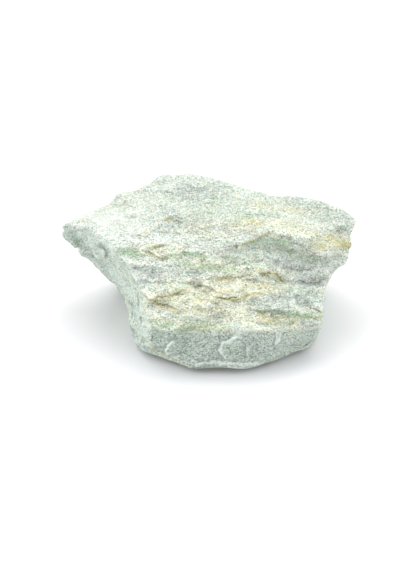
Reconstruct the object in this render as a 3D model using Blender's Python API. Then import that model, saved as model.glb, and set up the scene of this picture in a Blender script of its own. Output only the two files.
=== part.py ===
"""A rough piece of fuchsite rock: one solid, broken on every side, resting on its flattest break."""

import bmesh
import bpy
import numpy as np
from mathutils import Vector, noise
from mathutils.geometry import delaunay_2d_cdt

# Everything below is in millimetres until the mesh is handed over in metres.
MM = 0.001
SKIN = 0.8
TRIANGLES = 10600
GROUND_DEPTH = 1.0

# The rock splits along sheets of mica. This is the way those sheets face.
SHEET_NORMAL = Vector((0.03, -0.15, 0.99)).normalized()
SHEET_THICKNESS = 2.1
SHEET_SETBACK = 0.75
CHIP_SIZE = (9.0, 5.5, 2.8)
CHIP_DEPTH = 0.26
SWELL_SIZE = 15.0
SWELL_DEPTH = 1.0
# The broad upper face parts along one sheet, so it is calmer than the rest.
CALM = 0.55

# Each row is one place round the stone: the rim where the top breaks over, the belly of the side
# under it, and the foot where the side meets the ground.
SIDES = [
    # left tip, then along the left face to the front
    ((-44.6, 7.7, 28.2), (-44.4, 8.8, 24.4), (-25.5, 15.5)),
    ((-35.2, 6.2, 28.5), (-36.9, 9.2, 18.0), (-24.0, 10.5)),
    ((-30.4, 1.2, 28.0), (-29.9, 7.2, 14.3), (-23.0, 4.5)),
    ((-27.5, -2.4, 27.0), (-26.6, 3.8, 10.6), (-22.2, -2.0)),
    ((-23.9, -5.5, 25.0), (-24.0, -1.4, 8.0), (-22.2, -5.5)),
    ((-20.9, -10.2, 22.5), (-23.3, -6.5, 5.6), (-21.8, -9.2)),
    ((-18.2, -16.1, 19.0), (-22.6, -11.2, 2.8), (-21.0, -13.2)),
    # front face
    ((-17.0, -23.6, 13.5), (-18.2, -19.2, 4.5), (-15.6, -17.0)),
    ((-11.3, -24.6, 13.5), (-11.5, -22.8, 5.0), (-10.6, -20.4)),
    ((-2.7, -24.9, 14.0), (-3.2, -25.3, 5.0), (-3.6, -24.6)),
    ((6.4, -24.9, 14.0), (5.2, -25.8, 5.0), (4.8, -25.2)),
    ((14.5, -24.0, 14.0), (13.2, -24.6, 5.0), (11.2, -24.2)),
    ((20.8, -22.6, 13.5), (20.0, -22.0, 5.5), (17.8, -20.9)),
    ((26.3, -21.3, 13.0), (26.0, -19.3, 5.5), (23.6, -17.8)),
    ((32.2, -19.2, 12.5), (31.4, -15.6, 5.0), (28.8, -14.7)),
    # right side, with its overhanging lobe
    ((33.8, -14.9, 14.5), (33.1, -10.5, 7.0), (30.4, -10.0)),
    ((33.8, -7.0, 15.5), (33.2, -4.5, 9.0), (30.2, -4.0)),
    ((36.8, -2.2, 17.0), (33.8, 0.5, 12.0), (30.0, 1.0)),
    ((40.0, -0.1, 20.8), (36.3, 4.0, 15.0), (29.6, 4.5)),
    ((42.5, 1.2, 24.8), (38.4, 7.0, 18.0), (29.0, 7.5)),
    ((42.4, 5.0, 28.0), (39.8, 9.0, 21.0), (31.0, 12.0)),
    ((43.6, 9.2, 30.0), (40.6, 14.5, 18.0), (32.0, 17.0)),
    # back, from right to left
    ((39.8, 11.8, 32.2), (38.6, 21.0, 15.0), (31.0, 21.0)),
    ((34.0, 14.0, 33.2), (33.0, 25.5, 14.5), (27.5, 23.0)),
    ((25.7, 17.4, 33.8), (24.0, 27.0, 15.0), (20.0, 24.0)),
    ((18.2, 17.8, 33.7), (16.0, 26.0, 17.0), (12.5, 23.5)),
    ((9.3, 19.6, 35.3), (8.0, 27.2, 17.0), (6.0, 23.0)),
    ((4.3, 21.1, 36.6), (2.5, 27.8, 18.0), (2.0, 23.5)),
    ((-2.4, 21.3, 38.0), (-3.0, 27.6, 18.0), (-3.0, 23.0)),
    ((-14.4, 22.4, 37.4), (-13.0, 28.0, 17.0), (-11.0, 24.0)),
    ((-20.9, 20.0, 34.9), (-21.5, 26.5, 16.0), (-18.0, 23.5)),
    ((-28.8, 18.0, 33.8), (-29.5, 25.0, 14.5), (-24.5, 22.5)),
    ((-30.2, 16.2, 31.8), (-33.5, 21.5, 15.5), (-27.0, 20.0)),
    ((-37.6, 11.9, 30.1), (-38.5, 16.0, 18.5), (-27.5, 17.5)),
]

# The broken top between the rims.
TOP = [
    (-30.0, 9.0, 30.0),
    (-22.0, 11.0, 32.5),
    (-18.0, 2.0, 29.5),
    (-10.0, 2.0, 30.0),
    (-12.0, 15.0, 36.0),
    (-4.0, 17.0, 37.5),
    (0.0, 8.0, 33.0),
    (9.0, 11.0, 34.0),
    (12.0, 3.0, 31.0),
    (20.0, 9.0, 32.0),
    (27.0, 9.0, 32.0),
    (36.0, 7.0, 31.0),
    (19.2, 0.2, 30.5),
    (8.0, -2.4, 28.0),
    (27.0, -0.5, 29.5),
    (35.3, -0.5, 26.0),
    (19.2, -3.5, 23.5),
    (27.0, -4.0, 20.5),
    (30.0, -10.0, 16.5),
    (22.0, -13.0, 18.0),
    (10.0, -6.0, 24.5),
    (-2.0, -5.0, 27.0),
    (-10.0, -6.0, 27.0),
    (-17.0, -5.0, 27.0),
    (-15.0, -13.0, 21.0),
    (-5.0, -13.0, 21.5),
    (6.0, -13.0, 20.5),
    (-10.0, -19.5, 17.0),
    (5.0, -19.5, 16.5),
    (18.0, -18.5, 15.5),
]

# A parting is a crack between two sheets. Each row gives how far the upper sheet stands out over the
# lower one, how far up and down the step reaches, and the line of the crack from left to right.
PARTINGS = [
    (0.45, 2.0, [(-14.5, 6.6, 31.9), (-10.0, 6.0, 31.8), (-5.5, 5.2, 31.5)]),
    (0.60, 2.2, [(-24.5, -2.4, 26.9), (-20.8, -2.4, 27.2), (-16.1, -4.7, 27.0), (-10.8, -6.5, 26.3),
                 (-5.9, -5.5, 26.8), (0.5, -4.7, 27.0)]),
    (0.40, 1.4, [(-17.0, -2.3, 28.1), (-11.0, -1.8, 28.5)]),
    (0.95, 3.0, [(4.0, -3.4, 27.2), (10.7, -2.6, 27.4), (15.4, -1.2, 27.8), (19.0, -1.6, 28.6),
                 (23.8, -2.0, 27.6), (30.3, -2.4, 24.6), (37.0, -2.2, 21.6)]),
    (0.75, 2.2, [(9.5, -6.8, 23.8), (18.9, -6.2, 22.1), (25.0, -7.8, 19.4), (34.5, -5.3, 17.8)]),
    (0.80, 2.2, [(-12.5, -11.0, 22.9), (-6.5, -11.9, 22.3), (-2.4, -12.6, 21.6), (2.5, -14.4, 20.2)]),
    (0.65, 1.8, [(-19.5, -15.6, 18.9), (-13.1, -15.1, 19.7), (-6.5, -14.3, 20.5)]),
    (0.60, 1.8, [(-19.5, -16.0, 18.8), (-13.0, -18.0, 17.9), (-6.0, -19.6, 17.0)]),
    (0.80, 1.8, [(-1.0, -16.3, 18.9), (2.8, -16.0, 18.9), (7.1, -15.2, 19.0), (14.5, -14.0, 19.2)]),
    (0.65, 2.0, [(-3.5, -12.4, 21.7), (4.1, -10.3, 22.6), (10.6, -8.6, 22.8), (17.7, -7.2, 22.0),
                 (23.5, -9.4, 19.5)]),
    (0.75, 2.0, [(10.5, -18.0, 16.6), (18.7, -18.3, 15.5), (24.7, -18.6, 14.5), (33.5, -16.6, 13.6)]),
    (0.45, 2.2, [(-24.5, 11.8, 32.4), (-18.7, 14.7, 34.2), (-13.5, 14.3, 35.1)]),
    (0.40, 1.6, [(-23.0, -7.6, 24.4), (-14.0, -9.2, 24.4), (-5.5, -8.9, 24.6)]),
    (0.40, 1.6, [(-2.0, 2.0, 30.2), (7.0, 3.2, 31.0), (13.5, 4.4, 31.4)]),
    (0.45, 1.8, [(14.0, -15.2, 17.2), (22.0, -14.6, 17.0), (30.0, -12.6, 15.8)]),
]
PARTING_REACH = 5.0

# A scar is the shallow scoop left by a flake. Each row gives a point on the face, the way the face
# looks there, the scoop's radius of curve and its depth.
SCARS = [
    # front face, three flakes side by side and the lip under them
    ((-5.0, -25.0, 9.0), (-0.06, -1.00, 0.10), 21.0, 1.6),
    ((12.6, -24.8, 8.2), (0.12, -1.00, -0.05), 25.0, 1.6),
    ((27.2, -20.4, 7.6), (0.50, -0.87, -0.10), 16.0, 1.3),
    ((-15.0, -21.8, 8.8), (-0.45, -0.90, -0.10), 11.0, 0.9),
    ((2.0, -25.2, 1.2), (0.00, -0.80, -0.60), 40.0, 0.5),
    # left face
    ((-34.0, 4.0, 22.5), (-0.75, -0.60, -0.35), 50.0, 0.5),
    ((-23.5, -7.0, 14.5), (-0.90, -0.35, -0.10), 26.0, 1.0),
    # right side
    ((33.6, -10.0, 10.5), (1.00, -0.10, -0.10), 20.0, 0.8),
    ((35.0, 2.5, 14.0), (0.85, -0.10, -0.50), 18.0, 1.0),
    # back
    ((-22.0, 23.0, 26.0), (-0.45, 0.90, 0.20), 30.0, 1.6),
    ((-7.0, 26.0, 27.0), (-0.05, 0.95, 0.30), 26.0, 1.6),
    ((11.0, 24.0, 28.0), (0.15, 0.95, 0.30), 24.0, 1.8),
    ((28.0, 20.0, 27.0), (0.35, 0.90, 0.25), 26.0, 1.7),
    ((-19.0, 26.2, 9.0), (-0.30, 0.90, -0.25), 32.0, 1.5),
    ((3.0, 26.6, 9.0), (0.05, 0.95, -0.25), 36.0, 1.5),
    ((24.0, 26.0, 10.0), (0.25, 0.92, -0.25), 30.0, 1.5),
]

# Small pits where soft grains fell out: place, radius and depth.
PITS = [
    ((5.8, -3.2, 27.4), 1.5, 1.3),
    ((-9.0, 5.6, 31.7), 1.6, 0.9),
    ((-3.5, -12.6, 21.7), 1.9, 1.0),
    ((9.5, -15.0, 19.0), 1.8, 0.9),
    ((21.5, -8.8, 20.2), 2.0, 1.0),
    ((-37.0, 9.0, 29.3), 1.5, 0.6),
    ((-2.0, 23.5, 31.0), 2.2, 1.0),
]


def clear_scene():
    for thing in list(bpy.data.objects):
        bpy.data.objects.remove(thing)


def blank():
    """The stone as a few big planes: a top drawn over the rims, and sides that run down to a base."""
    rims = [Vector(row[0]) for row in SIDES]
    bellies = [Vector(row[1]) for row in SIDES]
    feet = [Vector((row[2][0], row[2][1], -GROUND_DEPTH)) for row in SIDES]
    bm = bmesh.new()
    rim = [bm.verts.new(p) for p in rims]
    belly = [bm.verts.new(p) for p in bellies]
    foot = [bm.verts.new(p) for p in feet]
    top = [bm.verts.new(p) for p in TOP]
    n = len(SIDES)
    for upper, lower in ((rim, belly), (belly, foot)):
        for i in range(n):
            j = (i + 1) % n
            bm.faces.new((upper[i], lower[i], lower[j], upper[j]))
    bm.faces.new(reversed(foot))
    around = [(i, (i + 1) % n) for i in range(n)]
    plan = [v.co.to_2d() for v in rim + top]
    faces = delaunay_2d_cdt(plan, around, [], 1, 1e-4)[2]
    corners = rim + top
    for f in faces:
        bm.faces.new([corners[i] for i in f])
    bmesh.ops.triangulate(bm, faces=bm.faces)
    bmesh.ops.recalc_face_normals(bm, faces=bm.faces)
    mesh = bpy.data.meshes.new("stone")
    bm.to_mesh(mesh)
    bm.free()
    stone = bpy.data.objects.new("stone", mesh)
    bpy.context.collection.objects.link(stone)
    return stone


def keep_largest(stone):
    """Drop the crumbs: any bit that isn't joined to the main body."""
    bm = bmesh.new()
    bm.from_mesh(stone.data)
    left = set(bm.verts)
    bodies = []
    while left:
        body = [left.pop()]
        for vert in body:
            for edge in vert.link_edges:
                other = edge.other_vert(vert)
                if other in left:
                    left.remove(other)
                    body.append(other)
        bodies.append(body)
    bodies.sort(key=len)
    crumbs = [vert for body in bodies[:-1] for vert in body]
    bmesh.ops.delete(bm, geom=crumbs, context="VERTS")
    bm.to_mesh(stone.data)
    bm.free()


def apply_modifiers(stone):
    graph = bpy.context.evaluated_depsgraph_get()
    mesh = bpy.data.meshes.new_from_object(stone.evaluated_get(graph))
    stone.modifiers.clear()
    stone.data = mesh


def reskin(stone, size):
    """Cover the stone with an even skin of small faces; this also clears any fold in the old one."""
    skin = stone.modifiers.new("skin", "REMESH")
    skin.mode = "VOXEL"
    skin.voxel_size = size
    apply_modifiers(stone)


def read_skin(stone):
    mesh = stone.data
    points = np.empty(len(mesh.vertices) * 3)
    normals = np.empty(len(mesh.vertices) * 3)
    mesh.vertices.foreach_get("co", points)
    mesh.vertex_normals.foreach_get("vector", normals)
    return points.reshape(-1, 3), normals.reshape(-1, 3)


def write_skin(stone, points):
    stone.data.vertices.foreach_set("co", points.ravel())
    stone.data.update()


def smoothstep(low, high, x):
    t = np.clip((x - low) / (high - low), 0.0, 1.0)
    return t * t * (3.0 - 2.0 * t)


def cut_scars(points):
    """Press each scoop into the face: whatever lies inside its ball moves out to the ball's skin."""
    scarred = np.zeros(len(points))
    for place, facing, radius, depth in SCARS:
        facing = np.array(Vector(facing).normalized())
        centre = np.array(place) + facing * (radius - depth)
        away = points - centre
        distance = np.linalg.norm(away, axis=1)
        facing_in = (away @ facing) < 0.0
        inside = (distance < radius) & facing_in & (distance > radius - 4.0 * depth)
        points[inside] = centre + away[inside] / distance[inside, None] * radius
        scarred[inside] = 1.0
    return points, scarred


def swell_surface(points, normals):
    """Slow rises and hollows over the whole stone."""
    seed = Vector((31.7, 4.2, 17.9))
    swell = np.array([noise.noise(Vector(row) / SWELL_SIZE + seed) for row in points])
    return points + normals * (SWELL_DEPTH * swell)[:, None]


def break_surface(points, normals, rough):
    """Angular chips, and sheets that break off at different distances."""
    layer_seed = Vector((3.1, 57.3, 21.4))
    size = Vector(CHIP_SIZE)
    push = np.zeros(len(points))
    for i, row in enumerate(points):
        p = Vector(row)
        # a chip is a small plane with a tilt of its own
        q = Vector((p.x / size.x, p.y / size.y, p.z / size.z))
        centre = noise.voronoi(q)[1][0]
        tilt = noise.cell_vector(centre * 37.0) - Vector((0.5, 0.5, 0.5))
        chip = 6.0 * tilt.dot(q - centre)
        # each sheet has a setback of its own, which changes slowly along it
        height = p.dot(SHEET_NORMAL) / SHEET_THICKNESS + 0.9 * noise.noise(p / 13.0 + layer_seed)
        layer = np.floor(height)
        along = Vector((p.x / 14.0, p.y / 7.0, 0.0)) + Vector((layer * 7.31, layer * 3.17, layer * 1.7))
        setback = noise.noise(along)
        push[i] = rough[i] * (CHIP_DEPTH * chip + SHEET_SETBACK * setback)
    return points + normals * push[:, None]


def roughness(points, normals, scarred):
    """How much of the chips and sheets each place gets."""
    upper_face = smoothstep(0.55, 0.8, normals[:, 2]) * smoothstep(-4.0, 5.0, points[:, 1])
    front_face = smoothstep(0.7, 0.9, -normals[:, 1]) * (1.0 - smoothstep(12.0, 15.0, points[:, 2]))
    rough = 1.0 - (1.0 - CALM) * upper_face
    rough *= 1.0 - 0.45 * front_face
    left_wing = 1.0 - smoothstep(-34.0, -22.0, points[:, 0])
    rough *= 1.0 - 0.5 * left_wing
    return rough * (1.0 - 0.35 * scarred)


def open_partings(points, normals):
    """Step the upper sheet out over the lower one along each crack."""
    slope = -SHEET_NORMAL.y / SHEET_NORMAL.z
    outward = normals * np.array((1.0, 1.0, 0.45))
    outward /= np.maximum(np.linalg.norm(outward, axis=1), 1e-6)[:, None]
    push = np.zeros(len(points))
    for strength, spread, line in PARTINGS:
        line = np.array(line)
        x = points[:, 0]
        waver = 0.35 * np.sin(x * 1.3 + strength * 40.0) + 0.25 * np.sin(x * 2.9 + strength * 90.0)
        line_y = np.interp(x, line[:, 0], line[:, 1])
        line_z = np.interp(x, line[:, 0], line[:, 2]) + waver
        behind = points[:, 1] - line_y
        above = points[:, 2] - line_z - slope * behind
        ends = smoothstep(line[0, 0] - 1.0, line[0, 0] + 3.5, x)
        ends *= 1.0 - smoothstep(line[-1, 0] - 3.5, line[-1, 0] + 1.0, x)
        near = np.exp(-(behind / PARTING_REACH) ** 2)
        fall = np.exp(-np.abs(above) / spread)
        push += strength * ends * near * fall * np.where(above > 0.0, 1.0, -1.0)
    return points + outward * push[:, None]


def open_pits(points, normals):
    for place, radius, depth in PITS:
        distance = np.linalg.norm(points - np.array(place), axis=1)
        inside = np.clip(1.0 - (distance / radius) ** 2, 0.0, 1.0)
        points = points - normals * (depth * inside)[:, None]
    return points


def thin_out(stone):
    """Keep the corners and drop the faces that flat ground doesn't need."""
    thin = stone.modifiers.new("thin", "DECIMATE")
    thin.ratio = TRIANGLES / (2.0 * len(stone.data.polygons))
    thin.use_collapse_triangulate = True
    apply_modifiers(stone)


def flatten_base(stone):
    """Saw off what lies under the ground and close the cut with one flat face."""
    bm = bmesh.new()
    bm.from_mesh(stone.data)
    everything = list(bm.verts) + list(bm.edges) + list(bm.faces)
    cut = bmesh.ops.bisect_plane(bm, geom=everything, dist=1e-4, plane_co=(0.0, 0.0, 0.0),
                                 plane_no=(0.0, 0.0, 1.0), clear_inner=True)
    ring = [e for e in cut["geom_cut"] if isinstance(e, bmesh.types.BMEdge)]
    bmesh.ops.contextual_create(bm, geom=ring)
    bmesh.ops.remove_doubles(bm, verts=bm.verts, dist=0.02)
    bmesh.ops.triangulate(bm, faces=bm.faces)
    bmesh.ops.recalc_face_normals(bm, faces=bm.faces)
    bm.to_mesh(stone.data)
    bm.free()


def settle(stone):
    """Centre the stone over the origin, stand it on the ground and change to metres."""
    points = read_skin(stone)[0]
    low = points.min(axis=0)
    high = points.max(axis=0)
    shift = np.array(((low[0] + high[0]) / 2.0, (low[1] + high[1]) / 2.0, low[2]))
    write_skin(stone, (points - shift) * MM)
    print("size in mm:", (high - low).round(2), "moved by", (-shift).round(3))


def stone_material():
    material = bpy.data.materials.new("fuchsite")
    material.use_nodes = True
    shader = material.node_tree.nodes["Principled BSDF"]
    shader.inputs["Base Color"].default_value = (0.62, 0.72, 0.61, 1.0)
    shader.inputs["Roughness"].default_value = 0.7
    return material


clear_scene()
stone = blank()
reskin(stone, SKIN)
points, normals = read_skin(stone)
points, scarred = cut_scars(swell_surface(points, normals))
write_skin(stone, points)
points, normals = read_skin(stone)
points = break_surface(points, normals, roughness(points, normals, scarred))
write_skin(stone, points)
points, normals = read_skin(stone)
points = open_partings(points, normals)
write_skin(stone, points)
points, normals = read_skin(stone)
write_skin(stone, open_pits(points, normals))
reskin(stone, SKIN * 0.85)
keep_largest(stone)
thin_out(stone)
flatten_base(stone)
keep_largest(stone)
settle(stone)
stone.data.name = "stone"
stone.data.materials.clear()
stone.data.materials.append(stone_material())
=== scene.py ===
# %% [markdown]
# # A rough piece of fuchsite
# Fuchsite is a green mica. In a rock like this one it grows with white quartz, so the stone is a
# sugary mass of white, mint and grey-green grains that splits along sheets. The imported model
# already has the big forms: the sloping stepped top, the overhanging ends and the low front face.
# This file adds the fine skin, the grains and the stains.

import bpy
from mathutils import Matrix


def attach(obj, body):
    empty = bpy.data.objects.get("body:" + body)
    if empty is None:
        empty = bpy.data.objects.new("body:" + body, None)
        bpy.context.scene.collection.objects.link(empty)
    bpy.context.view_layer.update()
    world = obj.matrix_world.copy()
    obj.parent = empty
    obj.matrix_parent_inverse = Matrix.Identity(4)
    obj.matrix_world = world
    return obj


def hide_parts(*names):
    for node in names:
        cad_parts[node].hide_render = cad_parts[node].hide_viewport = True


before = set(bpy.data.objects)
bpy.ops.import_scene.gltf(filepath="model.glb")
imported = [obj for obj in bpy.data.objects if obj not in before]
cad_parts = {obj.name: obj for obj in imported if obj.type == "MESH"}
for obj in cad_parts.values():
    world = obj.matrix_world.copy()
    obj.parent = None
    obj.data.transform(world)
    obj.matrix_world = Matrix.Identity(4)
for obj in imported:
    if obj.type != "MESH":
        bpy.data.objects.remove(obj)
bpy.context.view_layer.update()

# %% Tools and units
import math

import bmesh
import bpy
import numpy as np
from mathutils import Matrix, Vector, noise
from mathutils.bvhtree import BVHTree

MM = 0.001


def light(red, green, blue):
    """A colour as a screen shows it, 0 to 255, as the light that Blender works with."""
    parts = [c / 255 for c in (red, green, blue)]
    return tuple(c / 12.92 if c <= 0.04045 else ((c + 0.055) / 1.055) ** 2.4 for c in parts)


def put(name, data):
    """A new object in the scene."""
    made = bpy.data.objects.new(name, data)
    bpy.context.scene.collection.objects.link(made)
    return made


print("mid grey in light:", round(light(188, 188, 188)[0], 3))

# %% [markdown]
# ## The camera
# A table-top shot of a stone is taken from a little above with a long lens, so that its proportions
# look natural. The frame is 400 by 570 dots, taller than wide. The camera is made first, because
# the marks on the stone are placed by where they appear in its frame.

# %% Make the camera
FRAME_WIDE, FRAME_HIGH = 400, 570
LOOK_DOWN = math.radians(36)
DISTANCE = 520 * MM
DOT = 0.3 * MM
TARGET = Vector((-2.34, 2.13, 10.0)) * MM

sight_back = Vector((0, -math.cos(LOOK_DOWN), math.sin(LOOK_DOWN)))
sight_up = Vector((0, math.sin(LOOK_DOWN), math.cos(LOOK_DOWN)))
eye = TARGET + sight_back * DISTANCE

camera_data = bpy.data.cameras.new("table_camera")
camera_data.sensor_fit = "VERTICAL"
camera_data.sensor_height = 36
camera_data.lens = 36 * DISTANCE / (FRAME_HIGH * DOT)
camera_data.clip_start = 0.01
camera = put("table_camera", camera_data)
camera.matrix_world = Matrix.Translation(eye) @ Matrix.Rotation(math.pi / 2 - LOOK_DOWN, 4, "X")
bpy.context.scene.camera = camera
print("lens in mm:", round(camera_data.lens, 1))

# %% [markdown]
# ## Writing a finish as sums
# A finish is a graph of nodes. Most of them only add, multiply or compare numbers, so one small
# class wraps a node's output and lets Python's own signs make those nodes. Every other node comes
# from one method that sets its settings first and then its inputs.

# %% The finish writer


class Strand:
    """One output of a node in a finish. Sums of strands add the nodes that work them out."""

    def __init__(self, tree, socket):
        self.tree = tree
        self.socket = socket

    def node(self, kind, settings=None, inputs=None, output=0):
        """Adds a node: its settings first, then the value or strand of each input."""
        made = self.tree.nodes.new(kind)
        for name, value in (settings or {}).items():
            setattr(made, name, value)
        for name, value in (inputs or {}).items():
            if isinstance(value, Strand):
                self.tree.links.new(value.socket, made.inputs[name])
            else:
                made.inputs[name].default_value = value
        return Strand(self.tree, made.outputs[output])

    def maths(self, operation, first, second=0.0, clamp=False):
        settings = {"operation": operation, "use_clamp": clamp}
        return self.node("ShaderNodeMath", settings, {0: first, 1: second})

    def vector(self, operation, inputs, output=0):
        return self.node("ShaderNodeVectorMath", {"operation": operation}, inputs, output)

    def __add__(self, other):
        return self.maths("ADD", self, other)

    __radd__ = __add__

    def __sub__(self, other):
        return self.maths("SUBTRACT", self, other)

    def __rsub__(self, other):
        return self.maths("SUBTRACT", other, self)

    def __mul__(self, other):
        return self.maths("MULTIPLY", self, other)

    __rmul__ = __mul__

    def held(self):
        """Kept between 0 and 1."""
        return self.maths("ADD", self, 0.0, clamp=True)

    def size(self):
        """The number without its sign."""
        return self.maths("ABSOLUTE", self)

    def above(self, low, high):
        """0 below low, 1 above high, and a smooth rise between them."""
        settings = {"interpolation_type": "SMOOTHSTEP"}
        ends = {"Value": self, "From Min": low, "From Max": high, "To Min": 0.0, "To Max": 1.0}
        return self.node("ShaderNodeMapRange", settings, ends)

    def mix(self, first, second, blend="MIX"):
        """The colour between first and second that this strand picks."""
        settings = {"data_type": "RGBA", "blend_type": blend, "clamp_factor": True}
        pair = [c if isinstance(c, Strand) else (*c, 1) for c in (first, second)]
        return self.node("ShaderNodeMix", settings, {0: self, 6: pair[0], 7: pair[1]}, 2)

    def coloured(self, stops):
        """The colour that this number has on a ramp of spots and colours."""
        made = self.node("ShaderNodeValToRGB", None, {"Fac": self})
        elements = made.socket.node.color_ramp.elements
        while len(elements) < len(stops):
            elements.new(0.5)
        for element, (spot, colour) in zip(elements, stops):
            element.position = spot
            element.color = (*colour, 1)
        return made

    def dot(self, direction):
        """How far a place lies along a direction, as a number."""
        return self.vector("DOT_PRODUCT", {0: self, 1: direction}, "Value")

    def drawn_out(self, direction, share):
        """A place with part of its length along a direction taken out, which draws patterns out."""
        back = tuple(-share * c for c in direction)
        return self.vector("MULTIPLY_ADD", {0: self.dot(direction), 1: back, 2: self})

    def stretched(self, size, seed):
        """A place in mm divided by a size, and moved on, to feed a pattern."""
        inputs = {0: self, 1: tuple(1 / s for s in size), 2: (seed, seed * 1.7, seed * 2.3)}
        return self.vector("MULTIPLY_ADD", inputs)

    def cloud(self, size, seed, detail=3.0, roughness=0.6):
        """Soft noise, about 0.3 to 0.7, with lumps of the given size."""
        inputs = {"Vector": self.stretched(size, seed), "Scale": 1.0, "Detail": detail}
        return self.node("ShaderNodeTexNoise", None, {**inputs, "Roughness": roughness})

    def grains(self, size, seed, output="Color"):
        """Packed grains: each has a colour of its own, or its distance from the middle."""
        inputs = {"Vector": self.stretched(size, seed), "Scale": 1.0}
        return self.node("ShaderNodeTexVoronoi", {"feature": "F1"}, inputs, output)

    def moved(self, way):
        """A place moved along a vector."""
        return self.vector("ADD", {0: self, 1: way})

    def part(self, which):
        """One channel of a colour, as a number."""
        return self.node("ShaderNodeSeparateColor", None, {"Color": self}, which)


print("signs: + - *")

# %% [markdown]
# ## The floor and the light
# The stone lies on a white table under soft studio light. A wide sun lamp works as a big diffuser
# above and behind: it makes the top pale, leaves the front face in soft shade and draws a short
# shadow in front. One lamp would leave the ends dark, so there is a white board on each side, a
# little behind the stone. A low strip in front lifts the front face, but hardly the table. Boards
# and strip are bright parts of the room itself, picked by the direction in which a ray leaves.

# %% Lay the floor
TABLE_WHITE = (0.66, 0.66, 0.665, 1)

floor_mesh = bpy.data.meshes.new("table_top")
floor_mesh.from_pydata([(-3, -3, 0), (3, -3, 0), (3, 3, 0), (-3, 3, 0)], [], [(0, 1, 2, 3)])
floor = put("table_top", floor_mesh)
floor_paint = bpy.data.materials.new("white_table")
floor_paint.use_nodes = True
floor_shader = floor_paint.node_tree.nodes["Principled BSDF"]
floor_shader.inputs["Base Color"].default_value = TABLE_WHITE
floor_shader.inputs["Roughness"].default_value = 0.9
floor_shader.inputs["Specular IOR Level"].default_value = 0.1
floor_mesh.materials.append(floor_paint)
print("floor corners:", len(floor_mesh.vertices))

# %% Light the room
ROOM_GLOW = 0.30
LEFT_BOARD = 2.6
RIGHT_BOARD = 2.5
FRONT_STRIP = 1.6

room = bpy.data.worlds.new("white_room")
room.use_nodes = True
bpy.context.scene.world = room
room_light = room.node_tree.nodes["Background"]
room_light.inputs["Color"].default_value = (0.97, 0.985, 1, 1)
room_start = Strand(room.node_tree, None)
sky = room_start.node("ShaderNodeTexCoord", None, None, "Generated")
left_board = sky.dot((-0.90, 0.15, 0.40)).above(0.50, 0.95)
right_board = sky.dot((0.88, 0.20, 0.43)).above(0.50, 0.95)
near_table = 1 - sky.dot((0.0, 0.0, 1.0)).above(0.12, 0.4)
front_strip = sky.dot((0.0, -1.0, 0.0)).above(0.2, 0.9) * near_table
room_strength = (
    ROOM_GLOW
    + left_board * LEFT_BOARD
    + right_board * RIGHT_BOARD
    + front_strip * FRONT_STRIP
)
room.node_tree.links.new(room_strength.socket, room_light.inputs["Strength"])
print("room nodes:", len(room.node_tree.nodes))

# %% Hang the lamp
LAMP_SHINES = Vector((0.02, -0.65, -1.0))
LAMP_STRENGTH = 2.3
LAMP_SPREAD = math.radians(54)

lamp_data = bpy.data.lights.new("diffuser", "SUN")
lamp_data.energy = LAMP_STRENGTH
lamp_data.angle = LAMP_SPREAD
lamp_data.color = (1.0, 0.995, 0.985)
lamp = put("diffuser", lamp_data)
lamp.rotation_euler = LAMP_SHINES.to_track_quat("-Z", "Y").to_euler()

view = bpy.context.scene.view_settings
view.view_transform = "Standard"
view.look = "None"
view.exposure = 0
view.gamma = 1
print("the lamp is", round(math.degrees(lamp_data.angle)), "degrees wide")

# %% [markdown]
# ## A fine skin for the stone
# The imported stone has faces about 1.7 mm across, which show as flat facets up close. A voxel remesh
# covers the same form with an even net of small squares, and two rounds of smoothing take the
# facets out of it. The grains and cracks are pressed into this net afterwards, so it has to be
# fine enough to hold them, and still light enough to render quickly.

# %% Cover the form with a fine net
NET = 0.395 * MM


def new_stone(source):
    """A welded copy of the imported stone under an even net."""
    welded = bmesh.new()
    welded.from_mesh(source.data)
    bmesh.ops.remove_doubles(welded, verts=welded.verts, dist=1e-6)
    mesh = bpy.data.meshes.new("fuchsite_stone")
    welded.to_mesh(mesh)
    welded.free()
    piece = put("fuchsite_stone", mesh)
    net = piece.modifiers.new("net", "REMESH")
    net.mode = "VOXEL"
    net.voxel_size = NET
    graph = bpy.context.evaluated_depsgraph_get()
    fine = bpy.data.meshes.new_from_object(piece.evaluated_get(graph))
    piece.modifiers.clear()
    piece.data = fine
    return piece


stone = new_stone(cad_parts["stone"])
stone.data.name = "fuchsite_stone"
print("net:", len(stone.data.vertices), "points,", len(stone.data.polygons), "faces")

# %% Read, write and smooth the net


def rows(items, name):
    """One vector of every item, as rows of three numbers."""
    flat = np.empty(len(items) * 3)
    items.foreach_get(name, flat)
    return flat.reshape(-1, 3)


def points_of(piece):
    return rows(piece.data.vertices, "co") / MM


def normals_of(piece):
    return rows(piece.data.vertex_normals, "vector")


def set_points(piece, points):
    piece.data.vertices.foreach_set("co", (points * MM).ravel())
    piece.data.update()


edge_ends = np.empty(len(stone.data.edges) * 2, dtype=np.int64)
stone.data.edges.foreach_get("vertices", edge_ends)
edge_ends = edge_ends.reshape(-1, 2)
neighbours = np.bincount(edge_ends.ravel(), minlength=len(stone.data.vertices))


def smoothed(values, rounds):
    """Each round moves every point's value half of the way to the mean of its neighbours."""
    values = np.array(values, dtype=float)
    columns = values.reshape(len(values), -1)
    for _ in range(rounds):
        total = np.empty_like(columns)
        for k in range(columns.shape[1]):
            column = columns[:, k]
            total[:, k] = np.bincount(edge_ends[:, 0], column[edge_ends[:, 1]], len(column))
            total[:, k] += np.bincount(edge_ends[:, 1], column[edge_ends[:, 0]], len(column))
        columns = columns + 0.5 * (total / neighbours[:, None] - columns)
    return columns.reshape(values.shape)


FOOT = 0.3

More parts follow.
